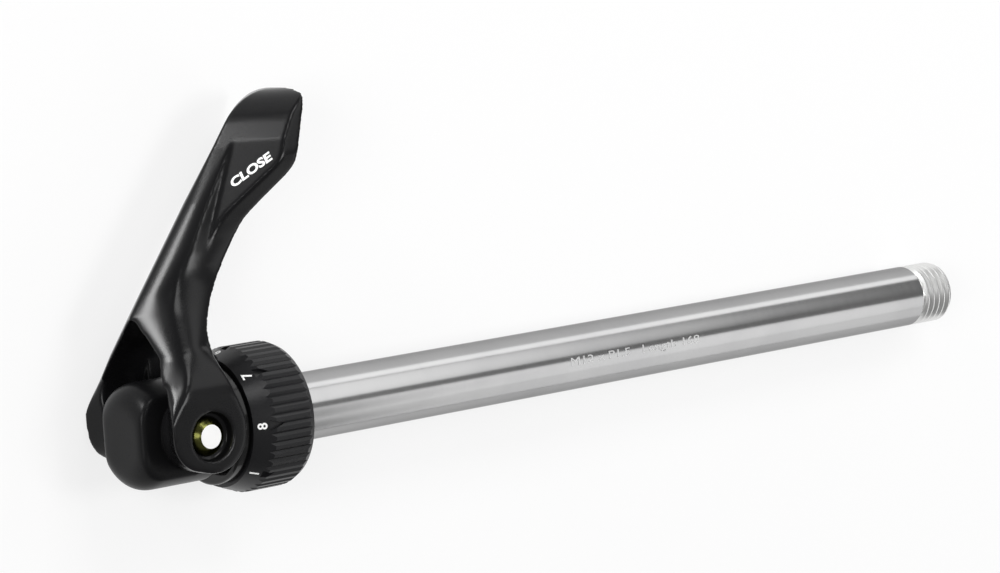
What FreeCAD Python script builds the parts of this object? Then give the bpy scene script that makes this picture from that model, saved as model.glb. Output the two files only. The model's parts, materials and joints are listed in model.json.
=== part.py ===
import FreeCAD, Part
import math
import os
import re
import Sketcher

# Bicycle thru axle with a forked cam lever and a numbered adjuster dial.
# X runs along the axle from the lever to the thread, with its zero on the dial's clamp face.
# Y points from the axle's axis to the closed lever's tip, and Z runs along the pivot pin.
# The lever is shown closed, with the dial at its eighth setting.

SIZES = [
    # axle tube
    ("axle_r", 6.0, "radius of the shank and of the thread's crests"),
    ("journal_r", 5.7, "radius of the shank inside the dial, where the pad slides"),
    ("axle_len", 168.0, "clamp face to the threaded tip"),
    ("bore_r", 3.5, "bore that lightens the shank"),
    ("bore_floor", 4.0, "clamp face to the bore's blind end"),
    ("thread_len", 7.4, "threaded length at the tip"),
    ("relief_len", 1.5, "width of the thread relief"),
    ("relief_depth", 0.8, "depth of the thread relief"),
    ("tip_chamfer", 0.9, "chamfer on the threaded tip"),
    ("spigot_r", 4.8, "stepped end of the shank inside the head"),
    ("spigot_wall", 3.0, "metal of the spigot beyond the pin's hole"),
    # pivot pin
    ("pin_set", 22.0, "clamp face to the pin's axis"),
    ("pin_r", 3.2, "pin radius"),
    ("pin_fit", 0.05, "radial running clearance of the pin in head and spigot"),
    ("pin_sink", 0.6, "pin's end below the ear's face"),
    ("pin_flat_r", 2.05, "radius of the pin's flat ends"),
    ("pin_taper", 0.95, "length of the taper round them"),
    # head
    ("head_r", 9.28, "radius of the domed head"),
    ("head_flat", 6.15, "half the width over the head's flat sides"),
    ("flat_round", 1.2, "rounding from the flat sides to the dome"),
    ("head_reach", 5.1, "pin's axis to the head's inner end"),
    ("cap_tip", 9.7, "pin's axis to the dome's outer end"),
    ("cap_round", 4.0, "rounding of the dome's edge"),
    # cams of the lever
    ("cam_r", 6.8, "radius of the eccentric cam discs"),
    ("cam_off_x", 0.5, "cam centre from the pin, along the axle; the throw is twice this"),
    ("cam_off_y", 0.42, "cam centre from the pin, towards the tip"),
    ("cam_sweep", 105.0, "degrees of cam from the closed contact round the heel"),
    ("cam_gap", 0.05, "running gap between cam and pad"),
    ("side_gap", 0.3, "gap between the head's flats and the ears' bosses"),
    # lever
    ("ear_half", 13.2, "half the width over the ears"),
    ("ear_front", 8.0, "pin's axis to the ears' outer edge"),
    ("heel_r", 6.0, "rounding of the ears' heel"),
    ("ear_slant", 0.45, "slant of the ears' outer edge towards the head, per mm of width"),
    ("slant_top", 9.0, "height where that slant runs into the flank"),
    ("mouth_r", 4.15, "recess round the pin's end"),
    ("mouth_depth", 1.9, "depth of that recess"),
    ("ridge_set", 20.95, "ridge line's distance from the pin's axis, along the axle"),
    ("ridge_lean", 0.735, "lean of the ridge towards the wheel, per mm of height"),
    ("flank_lean", 0.79, "slope of the two front flanks, per mm of width"),
    ("lever_top", 56.2, "pin's axis to the lever's tip"),
    ("tip_r", 12.5, "rounding of the ridge at the tip"),
    ("shoulder_y", 2.3, "height where the ear's back edge turns in"),
    ("shoulder_r", 6.0, "rounding there"),
    ("waist_x", 2.4, "back of the lever at its waist"),
    ("waist_y", 14.9, "height of the waist"),
    ("waist_r", 8.5, "rounding of the waist"),
    ("bend_x", 16.1, "back of the arm where it bends towards the paddle"),
    ("bend_y", 34.8, "height of that bend"),
    ("bend_r", 10.0, "rounding there"),
    ("knee_x", 23.4, "back of the lever where the paddle starts"),
    ("knee_y", 42.4, "height of that knee"),
    ("knee_r", 6.0, "rounding of the knee"),
    ("tip_back", 28.4, "back of the paddle at the tip's height"),
    ("flare_y", 9.2, "height where the ears start to close in"),
    ("flare_r", 10.0, "rounding there"),
    ("neck_half", 4.05, "half the width of the arm"),
    ("neck_low", 23.8, "height where the arm starts"),
    ("neck_low_r", 16.0, "rounding there"),
    ("neck_top", 34.6, "height where the paddle starts to flare"),
    ("neck_top_r", 10.0, "rounding there"),
    ("wing_half", 10.25, "half the width of the paddle before rounding"),
    ("wing_y", 44.3, "height of the paddle's widest place"),
    ("wing_r", 4.0, "rounding there"),
    ("wing_top_half", 8.6, "half the width where the paddle starts to close"),
    ("wing_top", 54.5, "height of that place"),
    ("wing_top_r", 5.0, "rounding there"),
    ("tip_half", 5.5, "half the width of the tip"),
    ("tip_over", 0.8, "paddle outline above the ridge's top"),
    ("tip_side_r", 2.0, "rounding of the tip's corners"),
    ("flat_x", 12.73, "paddle flats: distance of their spine at the reference height"),
    ("flat_y", 45.0, "paddle flats: reference height"),
    ("flat_lean", 0.535, "lean of the paddle flats, per mm of height"),
    ("spine_low", 30.0, "height where the spine between the flats leaves the arm's sides"),
    ("spine_taper", 5.5, "degrees by which each side of the spine closes in"),
    ("window_half", 9.6, "half the width of the arch window"),
    ("arch_low", 7.6, "height where the arch starts to close"),
    ("arch_low_r", 4.0, "rounding there"),
    ("arch_mid", 13.6, "height of the arch's haunch"),
    ("arch_mid_half", 6.9, "half the width there"),
    ("arch_mid_r", 6.0, "rounding of the haunch"),
    ("arch_top", 20.4, "height of the arch's point before rounding"),
    ("arch_top_r", 1.5, "rounding of the arch's point"),
    ("cheek_in", 7.6, "axle's axis to the cheeks inside the legs' backs"),
    ("cheek_x", 2.0, "pin's axis to the cheeks' front"),
    ("cheek_back", 4.9, "pin's axis to the cheeks' back"),
    ("cheek_low", 6.5, "height where the cheeks start"),
    ("cheek_high", 14.2, "height where they end"),
    ("cheek_slope", 1.6, "height and depth of the slant at their upper back"),
    # cam pad
    ("pad_r", 10.6, "radius of the pad's flange"),
    ("pad_round", 0.6, "rounding of the flange's rim"),
    ("pad_flange", 2.05, "thickness of the flange"),
    ("pad_fit", 0.06, "radial running clearance of the pad on the shank"),
    ("pad_web", 5.0, "pad's face to the floor of the spring chamber"),
    ("chamber_r", 8.0, "radius of the spring chamber"),
    ("sleeve_r", 9.3, "sleeve that carries the dial"),
    ("sleeve_gap", 0.4, "sleeve's end to the dial's inner face"),
    # adjuster dial
    ("dial_r", 12.75, "radius over the ribs"),
    ("dial_gap", 0.3, "gap between flange and dial"),
    ("dial_lip_r", 11.27, "small end of the number cone"),
    ("cone_len", 3.9, "length of the number cone"),
    ("rim_len", 1.2, "length of the chamfer at the clamp face"),
    ("rim_drop", 0.55, "drop of that chamfer"),
    ("clamp_wall", 3.2, "thickness of the clamp face's wall"),
    ("eye_gap", 0.35, "radial gap of the dial's eye round the shank"),
    ("thread_fit", 0.06, "radial clearance of the dial on the sleeve"),
    ("rib_depth", 0.36, "depth of the grooves between ribs"),
    ("rib_half", 0.52, "half the width of a groove at the crests"),
    ("rib_count", 48, "grooves round the dial"),
    ("setting_count", 8, "numbered settings round the dial"),
    ("notch_set", 2.8, "dial's small end to the pointer notch"),
    ("notch_len", 3.0, "length of the pointer notch"),
    ("notch_half", 0.9, "half the width of the pointer notch"),
    ("notch_depth", 0.75, "depth of the pointer notch below the ribs' crests"),
    ("click_depth", 3.6, "length of the click notches from the dial's small end"),
    ("click_play", 0.25, "clearance of the click notch round the nib"),
    # retaining ring
    ("ring_r", 7.6, "outer radius of the ring"),
    ("ring_seat_r", 5.0, "radius of its seat in the shank"),
    ("ring_width", 1.0, "thickness of the ring"),
    ("ring_play", 0.05, "side play in the seat"),
    ("ring_gap", 0.6, "gap to the dial's inner face with the lever open"),
    ("ring_mouth", 3.0, "half the width of the ring's opening"),
    # return spring
    ("disc_in", 6.0, "inner radius of the disc springs"),
    ("disc_out", 7.6, "outer radius of the disc springs"),
    ("disc_wall", 0.7, "height of the fold's metal at each edge, across the axle"),
    ("disc_play", 0.05, "end clearance of the stack"),
    ("disc_count", 4, "disc springs in the stack"),
    # detent spring
    ("clip_in", 8.5, "inner radius of the clip"),
    ("clip_out", 9.1, "outer radius of the clip"),
    ("clip_width", 0.9, "width of the clip"),
    ("clip_play", 0.1, "clearance of the clip in its groove"),
    ("clip_set", 0.8, "flange to the clip's groove"),
    ("clip_span", 300.0, "degrees that the clip goes round"),
    ("nib_r", 0.45, "radius of the clip's nib"),
    ("nib_set", 9.0, "axle's axis to the nib's centre"),
]
NAMES = {name for name, number, meaning in SIZES}

# Places that several pieces share, as formulas on the sizes.
PIN_X = "(-pin_set)"
CAP_X = f"({PIN_X} - cap_tip)"
HEAD_END = f"({PIN_X} + head_reach)"
SPIGOT_X = f"({PIN_X} - pin_r - spigot_wall)"
PIN_HALF = "(ear_half - pin_sink)"
PAD_FACE = f"({PIN_X} + cam_off_x + cam_r + cam_gap)"
FLANGE_END = f"({PAD_FACE} + pad_flange)"
CHAMBER_X = f"({PAD_FACE} + pad_web)"
SLEEVE_END = "(-clamp_wall - sleeve_gap)"
DIAL_START = f"({FLANGE_END} + dial_gap)"
DIAL_BORE = "(sleeve_r + thread_fit)"
RIB_ROOT = "(dial_r - rib_depth)"
RING_END = "(-clamp_wall - 2 * cam_off_x - ring_gap)"
RING_START = f"({RING_END} - ring_width)"
CLIP_X = f"({FLANGE_END} + clip_set)"
RELIEF_END = "(axle_len - thread_len)"
STOCK = "(lever_top + ear_half)"

doc = FreeCAD.newDocument("thru_axle")
sheet = doc.addObject("Spreadsheet::Sheet", "Sizes")
for row, (name, number, meaning) in enumerate(SIZES, start=1):
    sheet.set(f"A{row}", meaning)
    sheet.set(f"B{row}", str(number))
    sheet.setAlias(f"B{row}", name)
doc.recompute()


def bound(formula):
    """Returns the formula with each size written as a cell of the sheet."""
    words = re.split(r"([a-z_]\w*)", formula)
    return "".join("Sizes." + word if word in NAMES else word for word in words)


def number_of(formula):
    """Returns what the formula comes to with the sheet's present sizes."""
    return float(sheet.evalExpression(bound(formula)))


def origin_feature(body, role):
    """Returns the body's own origin plane or axis of that role."""
    return next(item for item in body.Origin.OriginFeatures if item.Role == role)


def new_body(label):
    """Starts a piece of its own."""
    body = doc.addObject("PartDesign::Body", label)
    body.Label = label
    return body


class Outline:
    """A sketch on one of its body's planes whose corners and circles are bound to the sheet."""

    def __init__(self, body, name, role, lift=None):
        self.sketch = body.newObject("Sketcher::SketchObject", name)
        self.sketch.AttachmentSupport = (origin_feature(body, role), [""])
        self.sketch.MapMode = "FlatFace"
        if lift:
            self.sketch.setExpression("AttachmentOffset.Base.z", bound(lift))

    def measure(self, formula, *constraint):
        """Adds a constraint whose value follows the formula."""
        index = self.sketch.addConstraint(Sketcher.Constraint(*constraint, number_of(formula)))
        self.sketch.setExpression(f"Constraints[{index}]", bound(formula))

    def hold(self, shape, point, across, along):
        """Places a point of the sketch; a plain 0 puts it on the axis."""
        for kind, formula, axis in (("DistanceX", across, -2), ("DistanceY", along, -1)):
            if formula == "0":
                self.sketch.addConstraint(Sketcher.Constraint("PointOnObject", shape, point, axis))
            else:
                self.measure(formula, kind, -1, 1, shape, point)

    def loop(self, corners):
        """Draws a closed outline; each corner is across, along and, where it is rounded, a radius."""
        points = [FreeCAD.Vector(number_of(corner[0]), number_of(corner[1]), 0) for corner in corners]
        count = len(points)
        starts, ends, arcs = list(points), list(points), {}
        for index, corner in enumerate(corners):
            if len(corner) < 3:
                continue
            radius = number_of(corner[2])
            before = (points[index - 1] - points[index]).normalize()
            after = (points[(index + 1) % count] - points[index]).normalize()
            half = before.getAngle(after) / 2
            ends[index] = points[index] + before * (radius / math.tan(half))
            starts[index] = points[index] + after * (radius / math.tan(half))
            middle = points[index] + (before + after).normalize() * (radius / math.sin(half))
            arcs[index] = (middle, radius, before.cross(after).z < 0)
        lines = []
        for index in range(count):
            following = (index + 1) % count
            lines.append(self.sketch.addGeometry(Part.LineSegment(starts[index], ends[following]), False))
        for index, corner in enumerate(corners):
            previous, following = lines[index - 1], lines[index]
            if index not in arcs:
                self.sketch.addConstraint(Sketcher.Constraint("Coincident", previous, 2, following, 1))
                self.hold(following, 1, corner[0], corner[1])
                continue
            middle, radius, left_turn = arcs[index]
            first, last = (ends[index], starts[index]) if left_turn else (starts[index], ends[index])
            from_angle = math.atan2(first.y - middle.y, first.x - middle.x)
            to_angle = math.atan2(last.y - middle.y, last.x - middle.x)
            circle = Part.Circle(middle, FreeCAD.Vector(0, 0, 1), radius)
            arc = self.sketch.addGeometry(Part.ArcOfCircle(circle, from_angle, to_angle), False)
            point = self.sketch.addGeometry(Part.Point(points[index]), True)
            self.hold(point, 1, corner[0], corner[1])
            self.sketch.addConstraint(Sketcher.Constraint("PointOnObject", point, 1, previous))
            self.sketch.addConstraint(Sketcher.Constraint("PointOnObject", point, 1, following))
            arc_start, arc_end = (1, 2) if left_turn else (2, 1)
            self.sketch.addConstraint(Sketcher.Constraint("Tangent", previous, 2, arc, arc_start))
            self.sketch.addConstraint(Sketcher.Constraint("Tangent", following, 1, arc, arc_end))
            self.measure(corner[2], "Radius", arc)
        return self

    def circle(self, across, along, radius):
        """Draws a circle."""
        middle = FreeCAD.Vector(number_of(across), number_of(along), 0)
        round_line = Part.Circle(middle, FreeCAD.Vector(0, 0, 1), number_of(radius))
        shape = self.sketch.addGeometry(round_line, False)
        self.hold(shape, 3, across, along)
        self.measure(radius, "Radius", shape)
        return self

    def frame(self, left, low, right, high):
        """Draws a rectangle between two corners."""
        return self.loop([(left, low), (right, low), (right, high), (left, high)])


def add_feature(body, kind, name, outline, **settings):
    """Adds a sketch-based feature; a text setting is a formula on the sizes."""
    before = body.Shape.Volume if body.Tip else 0.0
    feature = body.newObject("PartDesign::" + kind, name)
    feature.Profile = outline.sketch
    for key, setting in settings.items():
        if isinstance(setting, str) and key in ("Length", "Angle"):
            feature.setExpression(key, bound(setting))
        else:
            setattr(feature, key, setting)
    doc.recompute()
    grows = kind in ("Pad", "Revolution")
    if (body.Shape.Volume > before) != grows:
        raise ValueError(f"{name} leaves {body.Label} as it was")
    return feature


def pad(body, name, outline, length, **settings):
    """Raises a sketch along its normal."""
    return add_feature(body, "Pad", name, outline, Length=length, **settings)


def pocket(body, name, outline, length, **settings):
    """Cuts a sketch into the body, against its normal."""
    return add_feature(body, "Pocket", name, outline, Length=length, **settings)


def revolve(body, name, outline, axis="H_Axis", **settings):
    """Turns a sketch about one of its own axes."""
    return add_feature(body, "Revolution", name, outline, ReferenceAxis=(outline.sketch, [axis]), **settings)


def lean(feature, slope, along=1):
    """Slants a pad or pocket along X by the slope, per mm along or against Z."""
    feature.UseCustomVector = True
    feature.AlongSketchNormal = True
    feature.Direction = FreeCAD.Vector(number_of(slope), 0, along)
    feature.setExpression("Direction.x", bound(slope))
    doc.recompute()


def mirror(body, name, feature, role="XY_Plane"):
    """Repeats a feature on the other side of an origin plane."""
    copy = body.newObject("PartDesign::Mirrored", name)
    copy.Originals = [feature]
    copy.MirrorPlane = (origin_feature(body, role), [""])
    body.Tip = copy
    doc.recompute()


def repeat_round_axle(body, name, feature, count):
    """Repeats a feature round the axle's axis."""
    copies = body.newObject("PartDesign::PolarPattern", name)
    copies.Originals = [feature]
    copies.Axis = (origin_feature(body, "X_Axis"), [""])
    copies.Angle = 360
    copies.setExpression("Occurrences", bound(count))
    body.Tip = copies
    doc.recompute()


def pin_hole(body, across, radius, length):
    """Drills the pin's cross hole."""
    hole = Outline(body, "pin_hole_sketch", "XY_Plane").circle(across, "0", radius)
    pocket(body, "pin_hole", hole, length, SideType="Symmetric")


def make_axle_tube():
    """Shank with a stepped spigot, a ring seat, a thread relief and a chamfered tip."""
    body = new_body("axle_tube")
    seat_start = f"{RING_START} - ring_play"
    seat_end = f"{RING_END} + ring_play"
    relief_start = f"{RELIEF_END} - relief_len"
    shank = Outline(body, "shank_sketch", "XY_Plane").loop([
        (SPIGOT_X, "0"),
        (SPIGOT_X, "spigot_r"),
        (HEAD_END, "spigot_r"),
        (HEAD_END, "journal_r"),
        (seat_start, "journal_r"),
        (seat_start, "ring_seat_r"),
        (seat_end, "ring_seat_r"),
        (seat_end, "journal_r"),
        ("0", "journal_r"),
        ("0", "axle_r"),
        (relief_start, "axle_r"),
        (f"{relief_start} + relief_depth / 2", "axle_r - relief_depth"),
        (f"{RELIEF_END} - relief_depth / 2", "axle_r - relief_depth"),
        (RELIEF_END, "axle_r"),
        ("axle_len - tip_chamfer", "axle_r"),
        ("axle_len", "axle_r - tip_chamfer"),
        ("axle_len", "bore_r"),
        ("bore_floor", "bore_r"),
        ("bore_floor", "0"),
    ])
    revolve(body, "shank", shank)
    pin_hole(body, PIN_X, "pin_r + pin_fit", "4 * axle_r")
    return body


def make_axle_head():
    """Domed head with flat sides and a socket for the spigot."""
    body = new_body("axle_head")
    dome = Outline(body, "dome_sketch", "XY_Plane").loop([
        (CAP_X, "0"),
        (CAP_X, "head_r", "cap_round"),
        (HEAD_END, "head_r"),
        (HEAD_END, "spigot_r"),
        (SPIGOT_X, "spigot_r"),
        (SPIGOT_X, "0"),
    ])
    revolve(body, "dome", dome)
    plan = Outline(body, "plan_sketch", "XZ_Plane")
    plan.frame(f"{CAP_X} - head_r", "-2 * head_r", f"{HEAD_END} + 2 * head_r", "2 * head_r")
    plan.loop([
        (CAP_X, "-head_flat", "flat_round"),
        (f"{HEAD_END} + head_r", "-head_flat"),
        (f"{HEAD_END} + head_r", "head_flat"),
        (CAP_X, "head_flat", "flat_round"),
    ])
    pocket(body, "plan", plan, "4 * head_r", SideType="Symmetric")
    pin_hole(body, PIN_X, "pin_r + pin_fit", "4 * head_r")
    return body


def make_pivot_pin():
    """Pin pressed into the ears, with tapered ends."""
    body = new_body("pivot_pin")
    side = Outline(body, "pin_sketch", "XZ_Plane").loop([
        ("0", f"-{PIN_HALF}"),
        ("pin_flat_r", f"-{PIN_HALF}"),
        ("pin_r", f"pin_taper - {PIN_HALF}"),
        ("pin_r", f"{PIN_HALF} - pin_taper"),
        ("pin_flat_r", PIN_HALF),
        ("0", PIN_HALF),
    ])
    revolve(body, "pin", side, axis="V_Axis")
    body.setExpression("Placement.Base.x", bound(PIN_X))
    return body


def make_cam_lever():
    """Forked lever: a leaning roof-shaped casting with two eccentric ears and a paddle."""
    body = new_body("cam_lever")
    low = "(-2 * cam_r)"
    over = "(lever_top + ear_front)"
    # Two flat flanks meet in a ridge that leans towards the wheel and rounds over at the tip.
    ridge = Outline(body, "ridge_sketch", "XY_Plane").loop([
        (f"-ridge_set + ridge_lean * {low}", low),
        (STOCK, low),
        (STOCK, "lever_top"),
        ("-ridge_set + ridge_lean * lever_top", "lever_top", "tip_r"),
    ])
    flank = pad(body, "flank", ridge, "ear_half")
    lean(flank, "flank_lean")
    mirror(body, "flanks", flank)
    # Seen from the side: cam and heel of the ears, then the waist and the paddle's back.
    cam_right = "(cam_off_x + cam_r)"
    heel_y = "(cam_off_y - (cam_r + (ear_front + cam_off_x) * cos(cam_sweep)) / sin(cam_sweep))"
    back_slope = "((tip_back - knee_x) / (lever_top - knee_y))"
    side = Outline(body, "side_sketch", "XY_Plane")
    side.frame(f"-2 * {STOCK}", f"-2 * {STOCK}", f"2 * {STOCK}", f"2 * {STOCK}")
    side.loop([
        (cam_right, "cam_off_y - cam_r * tan(cam_sweep / 2)", "cam_r"),
        (cam_right, "shoulder_y", "shoulder_r"),
        ("waist_x", "waist_y", "waist_r"),
        ("bend_x", "bend_y", "bend_r"),
        ("knee_x", "knee_y", "knee_r"),
        (f"tip_back + {back_slope} * ear_front", over),
        ("-ear_front", over),
        ("-ear_front", heel_y, "heel_r"),
    ])
    pocket(body, "side", side, "4 * ear_half", SideType="Symmetric")
    # Seen from the front: wide ears, a narrow arm and the paddle.
    edge = [
        (low, "ear_half"),
        ("flare_y", "ear_half", "flare_r"),
        ("neck_low", "neck_half", "neck_low_r"),
        ("neck_top", "neck_half", "neck_top_r"),
        ("wing_y", "wing_half", "wing_r"),
        ("wing_top", "wing_top_half", "wing_top_r"),
        ("lever_top + tip_over", "tip_half", "tip_side_r"),
    ]
    front = Outline(body, "front_sketch", "YZ_Plane")
    front.frame(f"-2 * {STOCK}", f"-2 * {STOCK}", f"2 * {STOCK}", f"2 * {STOCK}")
    front.loop([(corner[0], f"-{corner[1]}") + corner[2:] for corner in edge] + edge[::-1])
    pocket(body, "front", front, f"4 * {STOCK}", SideType="Symmetric")
    # The arch window between the legs, through which the dome passes as the lever swings.
    legs = [
        ("3 * (-cam_r)", "window_half"),
        ("arch_low", "window_half", "arch_low_r"),
        ("arch_mid", "arch_mid_half", "arch_mid_r"),
    ]
    window = Outline(body, "window_sketch", "YZ_Plane")
    lower_leg = [(corner[0], f"-{corner[1]}") + corner[2:] for corner in legs]
    window.loop(lower_leg + [("arch_top", "0", "arch_top_r")] + legs[::-1])
    pocket(body, "window", window, f"4 * {STOCK}", SideType="Symmetric")
    # Cheeks thicken the legs' backs beside the head.
    wall = Outline(body, "cheek_sketch", "XY_Plane", "cheek_in").loop([
        ("cheek_x", "cheek_low"),
        ("cheek_back", "cheek_low"),
        ("cheek_back", "cheek_high - cheek_slope"),
        ("cheek_back - cheek_slope", "cheek_high"),
        ("cheek_x", "cheek_high"),
    ])
    mirror(body, "cheeks", pad(body, "cheek", wall, "window_half + cam_gap - cheek_in"))
    # Towards the head the ears' outer edge slants back, as far as the cam's own arc.
    slant = Outline(body, "slant_sketch", "XY_Plane", "ear_half").loop([
        (f"-{STOCK}", low),
        ("cam_off_x + cam_r * cos(cam_sweep)", low),
        ("cam_off_x + cam_r * cos(cam_sweep)", "cam_off_y - cam_r * sin(cam_sweep)"),
        ("-ear_front", heel_y, "heel_r"),
        ("-ear_front", "slant_top"),
        (f"-{STOCK}", "slant_top"),
    ])
    edge_slant = pocket(body, "edge_slant", slant, "ear_half - head_flat")
    lean(edge_slant, "ear_slant", -1)
    mirror(body, "edge_slants", edge_slant)
    # Eccentric bosses reach in to the head's flats and carry the cams across the pad.
    disc = Outline(body, "boss_sketch", "XY_Plane").circle("cam_off_x", "cam_off_y", "cam_r")
    pad(body, "boss", disc, "window_half + ear_half", SideType="Symmetric")
    slot = Outline(body, "slot_sketch", "XY_Plane").circle("0", "0", "2 * cam_r")
    pocket(body, "slot", slot, "2 * (head_flat + side_gap)", SideType="Symmetric")
    pin_hole(body, "0", "pin_r", "4 * ear_half")
    mouth = Outline(body, "mouth_sketch", "XY_Plane", "ear_half").circle("0", "0", "mouth_r")
    mirror(body, "mouths", pocket(body, "mouth", mouth, "mouth_depth"))
    # The paddle's two flats lie deeper than the ridge and leave it as a spine that tapers out above.
    foot_x = "(flat_x + flat_lean * (spine_low - flat_y) + flank_lean * neck_half)"
    slope = "(flat_lean * cos(spine_taper) - flank_lean * sin(spine_taper))"
    face = Outline(body, "flat_sketch", "XY_Plane", "neck_half")
    face.sketch.setExpression("AttachmentOffset.Base.y", bound("spine_low"))
    face.sketch.setExpression("AttachmentOffset.Rotation.Axis.x", "1")
    face.sketch.setExpression("AttachmentOffset.Rotation.Axis.z", "0")
    face.sketch.setExpression("AttachmentOffset.Rotation.Angle", bound("-spine_taper"))
    face.loop([
        (f"-{STOCK}", "0"),
        (foot_x, "0"),
        (f"{foot_x} + {slope} * {over}", over),
        (f"-{STOCK}", over),
    ])
    flat = pocket(body, "flat", face, "2 * ear_half")
    lean(flat, "flank_lean")
    mirror(body, "flats", flat)
    body.setExpression("Placement.Base.x", bound(PIN_X))
    return body


def make_cam_pad():
    """Ring that the cams push, with a sleeve for the dial, a spring chamber and the clip's groove."""
    body = new_body("cam_pad")
    groove_end = f"({CLIP_X} + clip_width + 2 * clip_play)"
    ring = Outline(body, "pad_sketch", "XY_Plane").loop([
        (PAD_FACE, "journal_r + pad_fit"),
        (PAD_FACE, "pad_r", "pad_round"),
        (FLANGE_END, "pad_r"),
        (FLANGE_END, "sleeve_r"),
        (CLIP_X, "sleeve_r"),
        (CLIP_X, "clip_in - clip_play"),
        (groove_end, "clip_in - clip_play"),
        (groove_end, "sleeve_r"),
        (SLEEVE_END, "sleeve_r"),
        (SLEEVE_END, "chamber_r"),
        (CHAMBER_X, "chamber_r"),
        (CHAMBER_X, "journal_r + pad_fit"),
    ])
    revolve(body, "pad", ring)
    return body


def make_adjuster_dial():
    """Dial with a number cone, ribs, a pointer notch at each setting and click notches inside."""
    body = new_body("adjuster_dial")
    section = Outline(body, "dial_sketch", "XY_Plane").loop([
        (DIAL_START, DIAL_BORE),
        (DIAL_START, "dial_lip_r"),
        (f"{DIAL_START} + cone_len", "dial_r"),
        ("-rim_len", "dial_r"),
        ("0", "dial_r - rim_drop"),
        ("0", "axle_r + eye_gap"),
        ("-clamp_wall", "axle_r + eye_gap"),
        ("-clamp_wall", DIAL_BORE),
    ])
    revolve(body, "dial", section)
    groove = Outline(body, "rib_sketch", "YZ_Plane").loop([
        ("0", RIB_ROOT),
        ("2 * rib_half", "dial_r + rib_depth"),
        ("-2 * rib_half", "dial_r + rib_depth"),
    ])
    rib = pocket(body, "rib", groove, "4 * dial_r", SideType="Symmetric")
    repeat_round_axle(body, "ribs", rib, "rib_count")
    notch_x = f"({DIAL_START} + notch_set)"
    arrow = Outline(body, "pointer_sketch", "XY_Plane", "dial_r - notch_depth").loop([
        (notch_x, "-notch_half"),
        (f"{notch_x} + notch_len", "0"),
        (notch_x, "notch_half"),
    ])
    pointer = pocket(body, "pointer", arrow, "dial_r", Reversed=True)
    repeat_round_axle(body, "pointers", pointer, "setting_count")
    notch = Outline(body, "click_sketch", "YZ_Plane", DIAL_START).circle("0", "nib_set", "nib_r + click_play")
    click = pocket(body, "click", notch, "click_depth", Reversed=True)
    repeat_round_axle(body, "clicks", click, "setting_count")
    return body


def make_retaining_ring():
    """Open ring in the shank's seat."""
    body = new_body("retaining_ring")
    section = Outline(body, "ring_sketch", "XY_Plane")
    section.frame(RING_START, "ring_seat_r", RING_END, "ring_r")
    revolve(body, "ring", section)
    gap = Outline(body, "mouth_sketch", "YZ_Plane").frame("-2 * ring_r", "-ring_mouth", "0", "ring_mouth")
    pocket(body, "mouth", gap, f"-4 * {RING_START}", SideType="Symmetric")
    return body


def make_return_spring():
    """Stack of disc springs, folded like a bellows, between the pad's chamber and the retaining ring."""
    body = new_body("return_spring")
    start = f"({CHAMBER_X} + disc_play)"
    step = f"(({RING_START} - disc_play - {start}) / disc_count)"
    places = [f"{start} + {turn} * {step}" for turn in range(round(number_of("disc_count")) + 1)]
    near = [(place, "disc_out - disc_wall" if turn % 2 else "disc_in") for turn, place in enumerate(places)]
    far = [(place, "disc_out" if turn % 2 else "disc_in + disc_wall") for turn, place in enumerate(places)]
    revolve(body, "discs", Outline(body, "disc_sketch", "XY_Plane").loop(near + far[::-1]))
    return body


def make_detent_spring():
    """Open clip in the sleeve's groove, with a nib that clicks into the dial."""
    body = new_body("detent_spring")
    start = f"({CLIP_X} + clip_play)"
    section = Outline(body, "clip_sketch", "XZ_Plane")
    section.frame(start, "clip_in", f"{start} + clip_width", "clip_out")
    revolve(body, "clip", section, Angle="clip_span", Midplane=True)
    tip = Outline(body, "nib_sketch", "YZ_Plane", start).circle("0", "nib_set", "nib_r")
    pad(body, "nib", tip, "clip_width")
    return body


pieces = [
    make_axle_tube(),
    make_axle_head(),
    make_pivot_pin(),
    make_cam_lever(),
    make_cam_pad(),
    make_adjuster_dial(),
    make_retaining_ring(),
    make_return_spring(),
    make_detent_spring(),
]
doc.recompute()

for item in doc.Objects:
    if "Invalid" in item.State or "Error" in item.State:
        raise RuntimeError(f"{item.Label} did not build: {item.State}")
for piece in pieces:
    if piece.Shape.isNull() or not piece.Shape.isValid() or len(piece.Shape.Solids) != 1:
        raise RuntimeError(f"{piece.Label} is not one sound solid")

os.makedirs("parts", exist_ok=True)
for piece in pieces:
    piece.Shape.exportStep(f"parts/{piece.Label}.step")
    print(f"{piece.Label}: {piece.Shape.Volume / 1000:.3f} cm3")
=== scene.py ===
"""Dresses the thru axle: turned shank, cast lever, ribbed dial, markings and studio."""
import json
import logging
import math
from dataclasses import dataclass
from enum import Enum
from typing import Callable, Optional, Union

import bpy
from mathutils import Matrix, Vector

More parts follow.
